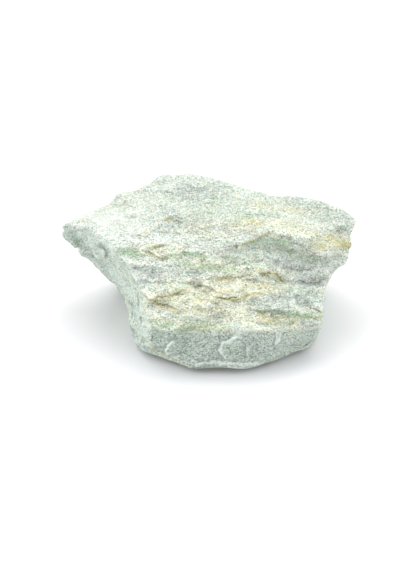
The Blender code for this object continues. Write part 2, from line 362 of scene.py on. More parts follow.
rough_form = points_of(stone)
plain_form = smoothed(rough_form, 2)
plain_form[:, 2] = np.where(rough_form[:, 2] < FOOT, rough_form[:, 2], plain_form[:, 2])
set_points(stone, plain_form)
moved = np.abs(plain_form - rough_form).max()
print("smoothing moved the net by", round(float(moved), 2), "mm")

# %% [markdown]
# ## A map for the finish
# When the model is exported, its finish is baked into pictures, and those need a flat map of the
# skin. The map is cut while the stone is still smooth, because a grainy skin would fall into
# thousands of scraps.

# %% Cut the map
set_points(stone, smoothed(plain_form, 40))
bpy.ops.object.select_all(action="DESELECT")
bpy.context.view_layer.objects.active = stone
stone.select_set(True)
stone.data.uv_layers.new(name="OFBake")
bpy.ops.object.mode_set(mode="EDIT")
bpy.ops.mesh.select_all(action="SELECT")
bpy.ops.uv.smart_project(angle_limit=1.15, island_margin=0.004)
bpy.ops.object.mode_set(mode="OBJECT")
set_points(stone, plain_form)
print("maps:", [layer.name for layer in stone.data.uv_layers])

# %% [markdown]
# ## Where the marks are
# Cracks, stains and coloured bands aren't spread evenly: each belongs to one place. They are listed
# as short lines in the camera's frame, across and down in dots, and a ray from the camera through
# each dot finds the place on the stone. From there on a mark lives in the stone's own space, so it
# stays put from any side.

# %% Find a place on the stone
stone_tree = BVHTree.FromPolygons(
    [Vector(p) for p in plain_form], [tuple(f.vertices) for f in stone.data.polygons]
)


def place(across, down):
    """The point of the stone that shows at this dot of the frame, in mm."""
    aside = Vector((1, 0, 0)) * ((across - FRAME_WIDE / 2) * DOT)
    aim = sight_up * ((FRAME_HIGH / 2 - down) * DOT) + aside
    return stone_tree.ray_cast(eye / MM, (TARGET + aim - eye).normalized())[0]


def line_on_stone(dots):
    """A line of dots as points on the stone; a dot that misses the stone is dropped."""
    found = [place(across, down) for across, down in dots]
    return np.array([p for p in found if p is not None])


print("middle of the frame is at", place(200, 285))

# %% Find where a point shows


def in_frame(points):
    """Where each point shows in the frame, in dots across and down."""
    sight = points - np.array(eye) / MM
    far = -(sight @ np.array(sight_back))
    dots = DISTANCE / DOT / far
    across = FRAME_WIDE / 2 + sight[:, 0] * dots
    down = FRAME_HIGH / 2 - sight @ np.array(sight_up) * dots
    return np.stack((across, down), axis=1)


SOFT_EDGE = 1.2


def inside(dots, outline):
    """1 inside an outline in the frame and 0 outside, with an edge that is a few dots soft."""
    corners = np.array(outline, dtype=float)
    odd = np.zeros(len(dots), dtype=bool)
    nearest = np.full(len(dots), np.inf)
    for start, end in zip(corners, np.roll(corners, -1, axis=0)):
        side = end - start
        offset = dots - start
        t = np.clip(offset @ side / (side @ side), 0.0, 1.0)
        nearest = np.minimum(nearest, np.linalg.norm(offset - t[:, None] * side, axis=1))
        if side[1]:
            spans = (start[1] > dots[:, 1]) != (end[1] > dots[:, 1])
            odd ^= spans & (offset[:, 0] < offset[:, 1] * side[0] / side[1])
    return np.clip(0.5 + np.where(odd, nearest, -nearest) / (2 * SOFT_EDGE), 0.0, 1.0)


top_point = plain_form[plain_form[:, 2].argmax()]
print("the top of the stone shows at", in_frame(top_point[None])[0].round(1))

# %% Measure from a line


def from_line(points, line, stretch=1.7):
    """For each point: how far from the line, how far to its left, and how far along it, 0 to 1.

    The camera sees a line that runs from left to right with its left above it. Heights count more
    than widths, so a mark spreads along the sheets.
    """
    up = np.array(sight_up)
    toward = np.array(sight_back)
    best = np.full(len(points), np.inf)
    above, along = np.zeros((2, len(points)))
    steps = np.linalg.norm(np.diff(line, axis=0), axis=1)
    starts = np.concatenate(([0.0], np.cumsum(steps)))
    for k, step in enumerate(steps):
        direction = (line[k + 1] - line[k]) / max(step, 1e-6)
        offset = points - line[k]
        t = np.clip(offset @ direction, 0.0, step)
        away = offset - t[:, None] * direction
        height = away @ up
        distance = np.sqrt((away**2).sum(axis=1) + (stretch**2 - 1) * height**2)
        to_left = np.cross(toward, direction)
        closer = distance < best
        best[closer] = distance[closer]
        above[closer] = (away @ (to_left / np.linalg.norm(to_left)))[closer]
        along[closer] = (starts[k] + t[closer]) / starts[-1]
    return best, above, along


def ramp(low, high, x):
    """0 at low, 1 at high, and a smooth rise between them."""
    t = np.clip((x - low) / (high - low), 0.0, 1.0)
    return t * t * (3 - 2 * t)


def fading(distance, width):
    """1 at no distance, falling softly to about a third at the width."""
    return np.exp(-((distance / width) ** 2))


def ripple(points, size, seed):
    """Smooth noise, about -1 to 1, at every point; size is the width of a lump in mm."""
    shifted = points / np.array(size) + np.array((seed * 13.7, seed * 5.1, seed * 9.3))
    return np.array([noise.noise(Vector(row)) for row in shifted])


print("ripple:", ripple(plain_form[:3], 4.0, 1).round(2))

# %% [markdown]
# ## Cracks between the sheets
# Where a sheet of the rock has broken away, its edge is a little step over a dark crack. Each crack
# has a line, a step height and a depth. The step lifts the sheet above the line and lowers the one
# below, and the crack itself is a narrow cut. A crack is thinner than the net, so its distance is
# stored on the skin too, and the finish draws the fine dark line from that: olive stain with painted
# shade for the gap.

# %% List the cracks
# step height in mm, crack depth in mm, then the dots of its line
CRACKS = [
    (0.3, 0.8, (153, 247), (160, 246), (167, 245)),
    (0.35, 0.8, (234, 248), (236, 246), (238, 248)),
    (0.12, 0.25, (166, 219), (170, 218), (174, 221), (177, 221), (184, 223)),
    (0.08, 0.15, (152, 247), (157, 247), (161, 245), (168, 245)),
    (0.12, 0.2, (139, 250), (145, 252), (151, 253), (157, 257), (162, 259), (171, 258)),
    (0.12, 0.08, (170, 257), (179, 254), (187, 252), (197, 253), (203, 256)),
    (0.1, 0.1, (185, 267), (194, 265), (202, 262), (211, 261)),
    (0.2, 0.25, (232, 248), (235, 246), (237, 245), (240, 247)),
    (0.2, 0.12, (240, 246), (247, 243), (255, 241), (264, 236), (272, 233)),
    (0.3, 0.08, (272, 233), (281, 236), (292, 240), (302, 246), (314, 254), (330, 262)),
    (0.15, 0.08, (232, 266), (240, 264), (255, 262), (270, 261), (287, 261)),
    (0.1, 0.15, (165, 282), (173, 282)),
    (0.18, 0.25, (184, 283), (190, 283), (193, 284), (196, 286), (201, 286), (208, 288),
     (215, 291)),
    (0.15, 0.2, (145, 300), (151, 300), (157, 298), (164, 296), (170, 295), (178, 293), (184, 290)),
    (0.18, 0.3, (146, 300), (154, 301), (158, 303), (163, 305), (169, 306), (174, 309), (180, 311)),
    (0.12, 0.15, (194, 301), (200, 300), (207, 300), (211, 302), (216, 304), (219, 306)),
    (0.22, 0.4, (215, 296), (219, 298), (223, 298), (227, 299), (231, 297), (235, 298), (240, 297)),
    (0.1, 0.12, (244, 297), (248, 295), (255, 293), (259, 293)),
    (0.12, 0.16, (217, 280), (223, 277), (230, 278), (238, 277), (246, 276), (254, 273)),
    (0.2, 0.3, (256, 272), (262, 273), (269, 272), (276, 274), (280, 278), (282, 281), (286, 283)),
    (0.15, 0.15, (251, 311), (259, 311), (267, 310), (278, 311), (292, 314)),
    (0.15, 0.25, (308, 307), (312, 308), (316, 310), (322, 313)),
    (0.12, 0.08, (258, 313), (270, 317), (286, 318), (302, 317), (320, 318)),
    (0.18, 0.12, (284, 266), (292, 269), (304, 270), (318, 268)),
    (0.18, 0.2, (300, 281), (307, 283), (315, 283), (325, 280)),
    (0.12, 0.08, (132, 269), (144, 267), (152, 267), (162, 270)),
    (0.12, 0.12, (140, 279), (152, 283), (165, 283)),
    (0.1, 0.1, (154, 192), (163, 191), (171, 192)),
    (0.1, 0.1, (202, 213), (208, 213), (215, 214)),
    (0.12, 0.12, (294, 305), (303, 303), (312, 301)),
    (0.1, 0.08, (290, 297), (300, 295), (310, 294)),
    (0.1, 0.1, (336, 225), (342, 229), (350, 233)),
    (0.1, 0.16, (158, 231), (164, 233), (172, 232)),
    (0.08, 0.2, (76, 224), (80, 221)),
    (0.08, 0.18, (89, 221), (93, 223), (98, 226)),
    (0.1, 0.15, (116, 208), (121, 205), (126, 201)),
    (0.1, 0.18, (126, 203), (129, 206), (133, 206)),
    (0.08, 0.1, (139, 199), (145, 197), (151, 197)),
    (0.1, 0.15, (195, 290), (199, 291), (205, 291)),
    (0.1, 0.15, (211, 289), (216, 291)),
    (0.1, 0.12, (188, 268), (194, 270), (200, 273)),
    (0.08, 0.15, (198, 238), (206, 237)),
    (0.05, 0.35, (99, 245), (103, 249), (106, 254), (104, 259)),
    (0.1, 0.2, (92, 240), (97, 241), (103, 244)),
    (0.08, 0.25, (108, 255), (110, 261), (116, 267)),
    (0.08, 0.25, (137, 293), (138, 300), (137, 307)),
    (0.05, 0.25, (140, 316), (141, 324)),
    (0.05, 0.2, (132, 311), (132, 318)),
    (0.08, 0.15, (219, 236), (227, 238)),
]
print("cracks:", len(CRACKS))

# %% List the edges of flakes
# step height in mm, its reach in mm, then the dots; the proud side is on the line's left
FLAKES = [
    (0.55, 3.5, (237, 332), (234, 338), (229, 340), (222, 341), (220, 345), (219, 350),
     (222, 356), (227, 362)),
    (0.45, 3.0, (177, 341), (172, 341), (166, 345), (164, 350), (167, 356)),
    (0.35, 3.0, (276, 356), (275, 350), (278, 342), (281, 337), (283, 330)),
    (0.3, 2.0, (274, 331), (276, 338), (273, 346), (275, 353)),
    (0.25, 2.0, (250, 345), (245, 350), (246, 357)),
    (0.25, 1.5, (213, 360), (205, 359), (196, 361), (190, 358)),
    (0.25, 1.5, (180, 355), (172, 356), (168, 361)),
    (0.25, 1.2, (320, 338), (312, 341), (304, 347), (296, 351)),
    (0.3, 1.5, (264, 361), (250, 363), (232, 362), (214, 361), (198, 362), (190, 364)),
    (0.5, 1.5, (104, 259), (106, 254), (103, 249), (97, 245)),
    (0.3, 1.5, (91, 249), (93, 255), (98, 259), (105, 260)),
    (0.15, 1.5, (150, 345), (142, 342), (136, 345)),
]
print("flake edges:", len(FLAKES))

# %% Cut the cracks and lift the flakes
END_FADE = 0.15
CRACK_REACH = 1.3
FLAKE_CUT = 0.1
CUT_WIDTH = 0.30
MASK_REACH = 3.0
FULL_CUT = 0.42
FULL_STEP = 0.4
FAR_OFF = 9.0


def walk(points, line, waver):
    """Distance from a line, the side it is on, and a strength that fades at the line's ends."""
    distance, left, along = from_line(points, line, 1.0)
    ends = ramp(0.0, END_FADE, along) * ramp(0.0, END_FADE, 1 - along)
    return distance, left + waver, ends


def cut_cracks(points, normals):
    """The points with the steps and cuts, and where each crack and flake edge runs."""
    push = np.zeros(len(points))
    masks, sides, nearest = (
        {kind: np.full(len(points), value) for kind in ("crack", "rim")}
        for value in (0.0, FAR_OFF, np.inf)
    )
    waver = 0.45 * ripple(points, 2.2, 3) + 0.35 * ripple(points, 0.9, 4)
    lines = [("crack", step, CRACK_REACH, depth, dots) for step, depth, *dots in CRACKS]
    lines += [("rim", step, reach, FLAKE_CUT, dots) for step, reach, *dots in FLAKES]
    for kind, step, reach, depth, dots in lines:
        distance, left, ends = walk(points, line_on_stone(dots), waver)
        near = ends * fading(distance, 2.5 * reach + 1)
        lift = np.tanh(left / 0.25) * np.exp(-np.abs(left) / reach)
        beside = fading(distance, MASK_REACH)
        cut = 0.4 * fading(left + 0.1, CUT_WIDTH) * ends * beside
        push += near * step * lift - depth * cut
        closer = distance < nearest[kind]
        nearest[kind][closer] = distance[closer]
        sides[kind][closer] = left[closer]
        amount = min(1.0, depth / FULL_CUT if kind == "crack" else step / FULL_STEP)
        masks[kind][closer] = (amount * ends * beside)[closer]
    return points + normals * push[:, None], masks, sides


cracked, line_masks, line_sides = cut_cracks(plain_form, normals_of(stone))
set_points(stone, cracked)
print("steps and cuts reach", round(float(np.abs(cracked - plain_form).max()), 2), "mm")

# %% [markdown]
# ## Sheets, chips and grains
# Between the cracks the surface is broken too. Three layers of relief make it: thin sheets that end
# at slightly different places, small angular chips, and the sugary grains themselves. The broad
# upper face parted along one sheet, so it is calmer, and the underside stays flat where it rests.

# %% Break the surface
SHEET_FACING = Vector((0.03, -0.15, 0.99)).normalized()
SHEET = 1.15
FACES_UP = (0.6, 0.85)
BIG_CHIP = (2.8, 2.1, 1.7)
SMALL_CHIP = (1.3, 1.1, 0.9)


def surface_zones(points, normals):
    """How strong the relief is at each point."""
    upper = ramp(*FACES_UP, normals[:, 2]) * ramp(-2.0, 6.0, points[:, 1])
    steep = 1 - ramp(0.2, 0.55, normals[:, 2])
    return 1 - 0.35 * upper + 0.35 * steep


def chip(p, size):
    """The tilt of the small flat chip that this place belongs to."""
    scaled = Vector((p.x / size[0], p.y / size[1], p.z / size[2]))
    centre = noise.voronoi(scaled)[1][0]
    tilt = noise.cell_vector(centre * 51.0) - Vector((0.5, 0.5, 0.5))
    return tilt.dot(scaled - centre)


def broken(points, normals, strength):
    """The points with the sheets, chips and grains pushed out or in."""
    push = np.zeros(len(points))
    bend = 1.2 * ripple(points, 12.0, 5) + 0.35 * ripple(points, 3.0, 6)
    layers = np.floor(points @ np.array(SHEET_FACING) / SHEET + bend)
    for i, (row, layer) in enumerate(zip(points, layers)):
        p = Vector(row)
        shift = Vector((layer * 7.3, layer * 3.1, layer * 1.9))
        sheet = noise.noise(Vector((p.x / 7.0, p.y / 3.5, 0)) + shift)
        push[i] = 0.20 * sheet + 0.25 * chip(p, BIG_CHIP) + 0.14 * chip(p, SMALL_CHIP)
    push += 0.10 * ripple(points, 1.5, 7) + 0.10 * ripple(points, 0.85, 8)
    return points + normals * (push * strength)[:, None]


normals = normals_of(stone)
strength = surface_zones(cracked, normals)
resting = (plain_form[:, 2] < 0.6) & (normals[:, 2] < -0.5)
strength[resting] = 0
stone_form = broken(cracked, normals, strength)
stone_form[:, 2] = np.maximum(stone_form[:, 2], 0.0)
print("resting points:", int(resting.sum()))

# %% [markdown]
# ## The lower edge
# The stone rests on its middle. Its front edge ends in a thin lip above the table, with a dark gap
# under it, and its left tip in one straight slope. Both are small, so they are made by moving
# points of the net: those near the front foot go out and up, and a step under the tip is filled.

# %% Fill the step under the left tip
TIP_DOT = np.array((82.0, 252.0))
TIP_WIDTH = 6.0
TIP_FILL = 1.5


def filled_corner(points, normals):
    """The points near the tip's lower corner pushed out, if they face left."""
    away = in_frame(points) - TIP_DOT
    near = np.exp(-((away / TIP_WIDTH) ** 2).sum(axis=1)) * ramp(0.0, -0.5, normals[:, 0])
    return points + normals * (TIP_FILL * near)[:, None]


stone_form = filled_corner(stone_form, normals)
print("filled by", TIP_FILL, "mm")

# %% Lift the front edge
SLICE = 1.5
FOOT_BAND = 1.2
LIP_OUT = 2.0
LIP_UP = 1.8
LIP_DEPTH = 3.2
LIP_HEIGHT = 4.0


def undercut(points):
    """The front edge of the base lifted off the floor and drawn out into a thin lip."""
    x, y, z = points.T
    slices = np.arange(x.min(), x.max(), SLICE)
    slice_of = np.digitize(x, slices) - 1
    low = z < FOOT_BAND
    foot = np.full(len(slices), np.inf)
    np.minimum.at(foot, slice_of[low], y[low])
    known = np.isfinite(foot)
    inward = y - np.interp(x, slices[known] + SLICE / 2, foot[known])
    near_foot = fading(inward, LIP_DEPTH) * np.clip(1 - z / LIP_HEIGHT, 0.0, 1.0)
    return np.stack((x, y - LIP_OUT * near_foot, z + LIP_UP * near_foot), axis=1)


stone_form = undercut(stone_form)
set_points(stone, stone_form)
stone.data.polygons.foreach_set("use_smooth", np.ones(len(stone.data.polygons), dtype=bool))
print("relief reaches", round(float(np.abs(stone_form - plain_form).max()), 2), "mm")

# %% Measure hollows and edges, for painted shade and highlight
hollow = ((smoothed(stone_form, 8) - stone_form) * normals).sum(axis=1)
wide_hollow_and_edge_shading = ((smoothed(stone_form, 60) - stone_form) * normals).sum(axis=1)
print("deepest hollow:", round(float(hollow.max()), 2), "mm")

# %% [markdown]
# ## Stains and bands
# Water has left rust in the cracks, which shows as ochre lines and haze with a warm tint around them.
# Some sheets are richer in mica, which makes green bands. Quartz pockets look grey because they are
# clear, and crushed quartz is palest, along edges and on the left end. Some pale marks are painted
# light instead, lifting the front lip, the riser, the right of the front face and the right end out
# of shade. Each is a mask: lines of dots with a half width in mm and a strength. On the sides that
# the lists don't reach, noise drawn out along the sheets puts the same kinds of marks at random.

# %% Ochre: narrow rust along the cracks, then wider haze
OCHRE = [
    (0.7, 0.8, (151, 248), (158, 247), (167, 245)),
    (0.9, 1.0, (167, 219), (171, 220)),
    (0.6, 0.8, (146, 245), (155, 247), (168, 245)),
    (0.7, 0.9, (143, 251), (151, 254), (160, 258), (172, 259)),
    (0.9, 0.5, (180, 258), (193, 256)),
    (0.7, 0.9, (241, 246), (252, 241), (262, 236), (270, 233), (279, 236)),
    (0.7, 0.8, (165, 282), (173, 282)),
    (0.7, 0.9, (185, 282), (192, 284), (200, 286)),
    (0.8, 0.9, (147, 300), (158, 299), (165, 296), (176, 293), (184, 290)),
    (0.8, 0.9, (150, 301), (158, 304), (168, 308), (176, 311), (184, 313)),
    (0.6, 0.7, (195, 301), (208, 300), (218, 305)),
    (0.9, 1.0, (216, 297), (224, 299), (232, 300), (240, 299)),
    (0.8, 0.8, (245, 297), (251, 294), (258, 293)),
    (0.8, 0.8, (218, 279), (230, 277), (242, 277), (254, 274)),
    (0.9, 1.0, (259, 271), (266, 273), (274, 273), (279, 277), (283, 281)),
    (0.6, 0.8, (309, 308), (321, 312)),
    (0.7, 0.7, (258, 313), (270, 317), (286, 318), (304, 317), (320, 318)),
    (1.8, 0.5, (214, 281), (224, 282), (232, 283)),
    (1.6, 0.7, (246, 219), (258, 225)),
    (1.3, 0.6, (258, 203), (264, 205)),
    (1.2, 0.6, (287, 228), (290, 231)),
    (1.0, 0.8, (312, 234), (316, 234)),
    (2.6, 0.75, (330, 238), (338, 243), (347, 246)),
    (1.1, 0.9, (334, 242), (342, 244)),
    (1.2, 0.6, (318, 246), (328, 248)),
    (2.0, 0.5, (267, 321), (280, 323), (296, 323)),
    (1.6, 0.5, (193, 326), (203, 327)),
    (1.0, 0.35, (162, 200), (170, 203)),
    (1.0, 0.4, (142, 235), (147, 231)),
    (1.2, 0.4, (201, 235), (206, 238)),
    (1.2, 0.45, (248, 230), (262, 228)),
    (1.6, 0.4, (186, 309), (204, 312)),
]
print("ochre marks:", len(OCHRE))

# %% Warm tint of the sloping face and the right of the top
WARM = [
    (1.4, 0.6, (148, 344), (158, 354), (172, 361), (188, 366)),
    (7.0, 1.0, (165, 300), (200, 296), (240, 292), (262, 286)),
    (5.0, 0.8, (205, 310), (240, 314), (262, 322), (290, 324)),
    (4.0, 0.7, (222, 278), (250, 272), (276, 278)),
    (5.0, 0.6, (240, 222), (268, 222), (300, 230)),
    (4.5, 0.9, (318, 242), (346, 244)),
    (4.0, 0.5, (148, 252), (176, 250)),
    (4.0, 0.6, (160, 318), (190, 324), (220, 326)),
    (5.0, 0.4, (196, 226), (220, 236)),
    (4.0, 0.6, (200, 262), (230, 268)),
    (4.0, 0.5, (258, 204), (300, 212)),
]
print("warm marks:", len(WARM))

# %% Green bands
GREEN = [
    (2.4, 0.8, (150, 321), (168, 325), (190, 327), (212, 328)),
    (2.4, 0.8, (288, 314), (306, 316), (321, 317)),
    (3.2, 0.5, (286, 288), (304, 291), (320, 295)),
    (3.0, 0.45, (176, 268), (192, 272), (206, 270)),
    (2.6, 0.4, (180, 318), (200, 322), (222, 318)),
    (2.8, 1.0, (124, 251), (131, 252), (137, 255)),
    (1.4, 1.0, (170, 256), (183, 253), (196, 254), (204, 256)),
    (1.5, 0.8, (182, 267), (200, 263), (213, 260)),
    (1.4, 1.0, (262, 312), (278, 313), (294, 315), (308, 316), (321, 316)),
    (1.3, 0.9, (300, 314), (320, 315)),
    (1.6, 0.6, (292, 305), (304, 303), (314, 301)),
    (1.2, 0.5, (261, 294), (280, 296)),
    (1.8, 0.7, (152, 331), (164, 332), (180, 333)),
    (1.6, 0.5, (148, 322), (160, 327), (176, 328)),
    (1.2, 0.5, (192, 320), (200, 322)),
    (1.6, 0.9, (246, 246), (262, 240), (276, 240), (290, 244)),
    (2.6, 0.6, (270, 243), (286, 248), (304, 256), (322, 262)),
    (2.0, 0.6, (240, 252), (256, 256)),
    (1.5, 0.6, (211, 193), (216, 205)),
    (2.2, 0.5, (206, 211), (214, 204), (222, 201)),
    (1.2, 0.5, (223, 193), (228, 196)),
    (1.0, 0.7, (203, 213), (213, 213)),
    (3.5, 0.35, (220, 200), (240, 206)),
    (2.8, 0.6, (168, 347), (176, 348), (184, 352)),
    (2.4, 0.5, (224, 343), (228, 350), (230, 356)),
    (2.6, 0.5, (154, 337), (170, 339), (186, 341)),
    (2.6, 0.35, (300, 343), (312, 337), (318, 331)),
    (2.0, 0.5, (66, 234), (76, 240), (84, 246)),
    (3.0, 0.6, (250, 246), (280, 250), (312, 262)),
    (2.6, 0.6, (226, 258), (246, 262), (270, 266)),
    (2.0, 0.6, (284, 313), (304, 313), (321, 313)),
    (3.2, 0.6, (152, 326), (170, 328), (190, 329)),
    (1.8, 0.5, (196, 329), (230, 331)),
    (3.0, 0.7, (180, 262), (205, 266), (232, 270)),
    (1.6, 0.5, (118, 256), (128, 270), (136, 282)),
]
print("green marks:", len(GREEN))

# %% Grey quartz
GREY = [
    (3.6, 0.7, (272, 298), (290, 298), (306, 300), (320, 303)),
    (3.0, 0.6, (136, 268), (146, 271), (156, 275)),
    (2.4, 0.6, (134, 281), (146, 284), (158, 286)),
    (5.0, 0.4, (290, 261), (306, 268), (322, 274)),
    (3.4, 0.6, (132, 304), (136, 320), (140, 336)),
    (1.6, 0.7, (159, 228), (172, 226), (186, 226)),
    (0.9, 1.0, (160, 232), (168, 232)),
    (1.2, 0.9, (190, 272), (200, 274)),
    (1.1, 1.0, (247, 280), (254, 281), (261, 281)),
    (1.1, 0.9, (267, 283), (274, 284)),
    (1.2, 0.9, (252, 298), (260, 300), (268, 301)),
    (1.6, 0.7, (131, 269), (146, 267), (162, 271)),
    (1.6, 0.8, (140, 280), (152, 283), (164, 283)),
    (1.2, 0.8, (213, 311), (221, 314)),
    (1.4, 0.6, (217, 321), (225, 324)),
    (1.3, 0.7, (202, 239), (215, 241)),
    (1.2, 0.8, (225, 230), (232, 233)),
    (1.0, 0.7, (276, 216), (280, 218)),
    (4.0, 0.6, (186, 188), (197, 190), (208, 198)),
    (1.6, 0.6, (185, 198), (197, 201)),
    (1.3, 0.5, (157, 191), (170, 192)),
    (1.2, 0.5, (126, 200), (134, 210)),
    (2.4, 0.3, (236, 263), (256, 261), (272, 261), (287, 262)),
    (2.0, 0.6, (284, 266), (296, 269), (308, 270)),
    (1.6, 0.9, (298, 281), (308, 283), (318, 283)),
    (3.0, 0.3, (312, 262), (326, 264), (338, 260)),
    (1.0, 0.6, (195, 287), (201, 290)),
    (1.0, 0.5, (210, 290), (216, 292)),
    (1.2, 0.5, (158, 313), (170, 314)),
    (1.2, 0.6, (322, 221), (338, 220)),
    (4.0, 0.6, (290, 202), (318, 208), (346, 220)),
    (2.4, 0.9, (262, 323), (284, 324), (306, 322)),
    (3.0, 0.4, (165, 316), (190, 320), (215, 318)),
    (4.0, 0.3, (196, 262), (222, 272)),
    (1.2, 0.6, (290, 297), (308, 294)),
    (1.0, 0.9, (185, 365), (194, 368)),
    (2.0, 0.9, (154, 336), (168, 337), (182, 340)),
    (2.0, 0.6, (190, 338), (210, 338), (228, 337)),
    (1.2, 0.8, (162, 337), (170, 342)),
    (2.2, 0.5, (250, 346), (268, 350)),
    (0.9, 1.0, (138, 294), (138, 305)),
    (0.7, 1.0, (140, 317), (141, 323)),
    (0.7, 0.9, (132, 311), (132, 318)),
    (1.0, 0.8, (104, 249), (108, 256), (112, 262)),
    (3.0, 0.9, (132, 329), (137, 338), (144, 348)),
    (1.4, 0.6, (86, 248), (94, 260), (104, 270)),
]
print("grey marks:", len(GREY))

# %% Pale edges and patches, some of them painted light
PALE_AND_PAINTED_LIGHT = [
    (8.0, 0.95, (86, 224), (105, 218), (122, 220)),
    (5.0, 0.8, (100, 234), (116, 240), (124, 244)),
    (5.0, 0.6, (108, 214), (122, 206), (140, 200)),
    (1.3, 0.9, (96, 233), (105, 242), (114, 250), (122, 257)),
    (2.2, 1.0, (129, 265), (134, 275), (140, 283), (144, 294), (147, 304), (149, 318),
     (151, 330)),
    (1.2, 0.9, (148, 334), (150, 345), (161, 354), (172, 361), (184, 364)),
    (2.6, 0.45, (193, 349), (199, 356), (208, 363)),
    (1.0, 0.9, (162, 349), (166, 344), (171, 341), (176, 342)),
    (0.8, 1.0, (220, 341), (221, 347), (220, 351), (222, 357), (225, 362)),
    (0.7, 0.9, (221, 341), (232, 341), (235, 336), (238, 332)),
    (1.5, 0.9, (281, 333), (278, 341), (275, 347), (274, 353)),
    # painted light on the front lip, where it lies in shade
    (1.6, 0.45, (186, 364), (198, 366), (212, 365), (228, 365), (246, 366), (264, 362)),
    (0.8, 0.6, (193, 358), (204, 361), (214, 362)),
    (3.0, 0.6, (150, 240), (166, 238)),
    (3.0, 0.6, (185, 244), (200, 246)),
    (2.4, 0.6, (222, 290), (240, 288)),
    (1.8, 0.6, (160, 290), (172, 288)),
    (4.0, 0.5, (150, 195), (166, 188)),
    (1.4, 0.7, (290, 284), (304, 287), (318, 286)),
    (1.8, 0.6, (262, 248), (270, 250)),
    (1.6, 0.6, (308, 264), (314, 267)),
    (1.3, 0.7, (240, 331), (260, 331), (280, 329)),
    (1.2, 0.6, (300, 306), (306, 309)),
    (2.5, 0.4, (170, 316), (182, 318)),
    # painted light on the shaded riser
    (6.0, 0.45, (250, 252), (268, 252), (290, 258), (322, 266)),
    # painted light on the right of the front face, which turns away from the lamp
    (4.0, 0.5, (284, 338), (300, 342), (316, 336)),
    # painted light at the right end, under a step
    (4.0, 0.3, (326, 240), (346, 240)),
    (4.0, 0.4, (190, 290), (240, 288), (262, 294)),
    (2.4, 0.5, (136, 264), (142, 274), (148, 288)),
    (0.9, 0.9, (150, 331), (172, 332), (195, 333), (221, 334), (244, 333), (282, 332),
     (300, 328), (320, 330)),
]
print("pale marks:", len(PALE_AND_PAINTED_LIGHT))

# %% Turn the lists into masks


def mark_mask(points, marks, seed):
    """The strongest mark at each point, with a ragged edge."""
    mask = np.zeros(len(points))
    ragged = 0.75 + 0.55 * ripple(points, (2.4, 1.6, 1.2), seed)
    ragged += 0.35 * ripple(points, 0.8, seed + 1)
    for half_width, amount, *dots in marks:
        line = line_on_stone(dots)
        if len(line) < 2:
            continue
        distance = from_line(points, line)[0]
        mask = np.maximum(mask, amount * fading(distance, half_width))
    return np.clip(mask * ragged, 0.0, 1.0)


def random_mask(points, seed, size, low, high):
    """Marks of the same kind in no special place, drawn out along the sheets."""
    finer = tuple(s / 2.6 for s in size)
    return ramp(low, high, ripple(points, size, seed) + 0.5 * ripple(points, finer, seed + 1))


# the listed marks and their seed, then the random ones: strength, and seed, size, low and high
MARKS = {
    "ochre": (OCHRE, 21, 0.75, (41, (9, 9, 2.2), 0.35, 0.8)),
    "green": (GREEN, 24, 0.8, (44, (10, 10, 3.0), 0.15, 0.7)),
    "grey": (GREY, 27, 0.6, (47, (6, 6, 3.0), 0.3, 0.8)),
    "pale": (PALE_AND_PAINTED_LIGHT, 30, 0.5, (50, (9, 9, 4.0), 0.1, 0.7)),
    "warm": (WARM, 33, 0.7, (53, (14, 14, 5.0), 0.0, 0.6)),
}
facing_camera = ramp(0.0, 0.45, normals_of(stone) @ np.array(sight_back))
unlisted = 1 - 0.85 * facing_camera
masks = {}
for name, (marks, seed, share, chance) in MARKS.items():
    listed = mark_mask(plain_form, marks, seed)
    masks[name] = np.maximum(listed, unlisted * share * random_mask(plain_form, *chance))
print({name: round(float(mask.mean()), 3) for name, mask in masks.items()})

# %% [markdown]
# ## Faces that differ
# The low front face and the left flank are fresh breaks: they look greyer, and fine streaks run along
# the flank. The left flank is also painted lighter, as painted light from the left. Both are outlined
# in the frame. Behind, where no outline reaches, every steep side counts as half of each, painted
# light included. Hollows are measured too: the finish paints them a little darker, with dust and
# painted shade, and raised edges a little lighter, as painted highlight.

# %% Outline the front face and the left flank
FRONT_FACE = [
    (150, 330), (160, 331), (172, 332), (182, 335), (195, 332), (207, 331), (221, 333), (234, 334),
    (244, 332), (262, 332), (282, 331), (290, 327), (300, 327), (303, 330), (311, 331), (320, 329),
    (335, 320), (345, 350), (300, 375), (240, 385), (190, 385), (184, 365), (172, 361), (161, 354),
    (152, 346), (149, 338),
]
LEFT_FACE = [
    (60, 225), (72, 229), (80, 228), (90, 231), (96, 236), (104, 240), (108, 243), (112, 248),
    (116, 254), (122, 259), (127, 261), (129, 268), (133, 278), (139, 288), (143, 297), (145, 307),
    (147, 320), (149, 333), (150, 342), (156, 350), (170, 361), (184, 367), (170, 390), (110, 390),
    (40, 260),
]
shown = in_frame(plain_form)
wide_normals = smoothed(normals, 6)
faces_camera = ramp(0.0, 0.3, smoothed(normals, 30) @ np.array(sight_back))
behind = (1 - faces_camera) * (1 - ramp(0.25, 0.6, wide_normals[:, 2])) * 0.5
masks["fresh"] = faces_camera * inside(shown, FRONT_FACE) + behind
masks["flank"] = faces_camera * inside(shown, LEFT_FACE) + behind
masks["upper"] = ramp(*FACES_UP, wide_normals[:, 2]) * ramp(-3.0, 4.0, plain_form[:, 1])
print("front face:", round(float(masks["fresh"].mean()), 2), "of the skin")

# %% Store the masks on the skin
masks["hollow"] = np.clip(0.5 + hollow / 0.5, 0, 1)
masks["valley"] = np.clip(0.5 + wide_hollow_and_edge_shading / 2.4, 0, 1)
for name in ("crack", "rim"):
    masks[name] = line_masks[name]
    masks[name + "_side"] = line_sides[name]
for name, mask in masks.items():
    layer = stone.data.attributes.new(name, "FLOAT", "POINT")
    layer.data.foreach_set("value", mask.astype(np.float32))
print("stored:", sorted(masks))
